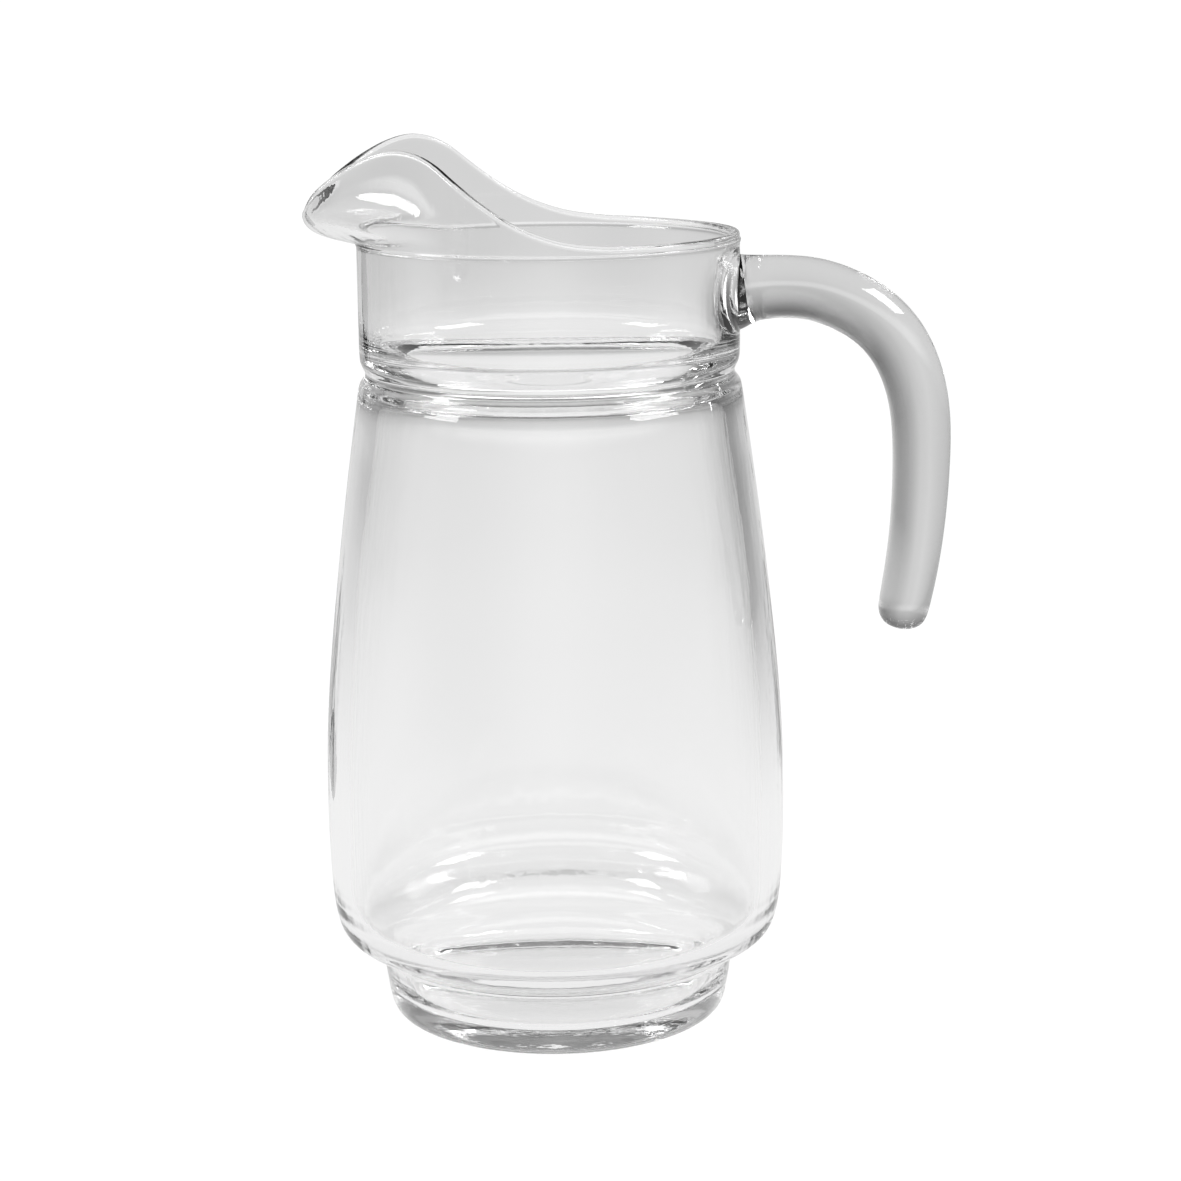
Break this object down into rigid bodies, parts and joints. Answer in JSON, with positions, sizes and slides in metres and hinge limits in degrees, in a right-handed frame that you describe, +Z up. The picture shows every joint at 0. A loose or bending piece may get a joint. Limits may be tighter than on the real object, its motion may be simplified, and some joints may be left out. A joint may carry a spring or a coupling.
{
  "type": "glass water jug",
  "caption": "Large clear glass water jug with a straight-sided foot, tapering belly, pinched throat, wide flared pouring spout and an open hook handle of solid glass.",
  "frame": {"origin": "centre of the foot's resting ring, on the axis of the vessel, at table height", "axes": "+Z up along the vessel's axis, -X towards the pouring spout, +X towards the handle"},
  "size_m": [0.1897, 0.138, 0.2624],
  "materials": {
    "vessel_glass": "fire-polished clear glass",
    "handle_glass": "fire-polished clear glass"
  },
  "bodies": {
    "root": {"jug_body": "vessel_glass", "jug_handle": "handle_glass"}
  },
  "joints": []
}
